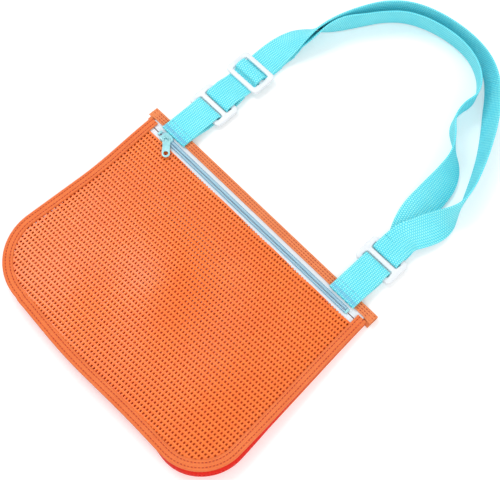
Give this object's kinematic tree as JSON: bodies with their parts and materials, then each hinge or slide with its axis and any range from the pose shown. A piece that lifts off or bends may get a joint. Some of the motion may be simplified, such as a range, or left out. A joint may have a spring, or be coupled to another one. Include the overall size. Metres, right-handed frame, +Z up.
{
  "type": "mesh ball bag",
  "caption": "Flat zipped bag of open mesh on a bound wedge-shaped body, with an adjustable webbing shoulder strap held by moulded slides on sewn tabs.",
  "frame": {"origin": "on the surface under the middle of the bag and its two end slides, the free strap left out", "axes": "+X along the zipped top edge towards the right end, +Y from the bag towards the strap, +Z up from the surface the bag lies on"},
  "size_m": [0.2494, 0.4166, 0.027],
  "materials": {
    "mesh": "open knitted mesh",
    "gusset_mesh": "open knitted mesh",
    "binding": "woven tape with stitching",
    "hem": "folded woven tape with stitching",
    "zipper_tape": "fine woven tape",
    "zipper_coil": "moulded coil",
    "zipper_hardware": "painted, glossy",
    "slides": "moulded, glossy",
    "webbing": "ribbed polyester webbing"
  },
  "bodies": {
    "bag": {"back_binding": "binding", "back_panel": "mesh", "side_gusset": "gusset_mesh", "front_panel": "mesh", "front_binding": "binding", "top_hem": "hem", "zipper_tape_upper": "zipper_tape", "zipper_tape_lower": "zipper_tape", "zipper_coil_upper": "zipper_coil", "zipper_coil_lower": "zipper_coil", "zipper_stop_left": "zipper_coil", "zipper_stop_right": "zipper_coil", "strap_tab_left": "webbing", "strap_tab_right": "webbing"},
    "zip_slider": {"zipper_slider": "zipper_hardware"},
    "pull": {"zipper_pull": "zipper_hardware"},
    "left_slide": {"left_end_slide": "slides"},
    "right_slide": {"right_end_slide": "slides"},
    "strap": {"strap_end_loop": "webbing", "strap_over_adjuster": "webbing", "strap_lead": "webbing", "strap_outer": "webbing", "strap_inner": "webbing", "strap_turn": "webbing"},
    "adjuster": {"adjuster_slide": "slides", "adjuster_loop": "webbing"}
  },
  "joints": [
    {"name": "zip_travel", "type": "slide", "parent": "bag", "child": "zip_slider", "axis": [1, 0, 0], "range_m": [0, 0.194]},
    {"name": "pull_hinge", "type": "hinge", "parent": "zip_slider", "child": "pull", "pos_m": [-0.097, 0.05578, 0.0086], "axis": [-0.7071, -0.7056, 0.0455], "range_deg": [0, 150]},
    {"name": "left_slide_hinge", "type": "hinge", "parent": "bag", "child": "left_slide", "pos_m": [-0.0945, 0.0952, 0.0042], "axis": [1, 0, 0], "range_deg": [0, 90]},
    {"name": "right_slide_hinge", "type": "hinge", "parent": "bag", "child": "right_slide", "pos_m": [0.0945, 0.0952, 0.0042], "axis": [1, 0, 0], "range_deg": [0, 90]},
    {"name": "strap_hinge", "type": "hinge", "parent": "left_slide", "child": "strap", "pos_m": [-0.0945, 0.115, 0.0042], "axis": [1, 0, 0], "range_deg": [0, 60]},
    {"name": "adjuster_travel", "type": "slide", "parent": "strap", "child": "adjuster", "axis": [0, 1, 0], "range_m": [-0.01, 0.008], "deforming": ["strap_over_adjuster", "strap_lead"]}
  ],
  "couplings": [
    {"joint": "right_slide_hinge", "follows": "left_slide_hinge", "ratio": 1}
  ]
}
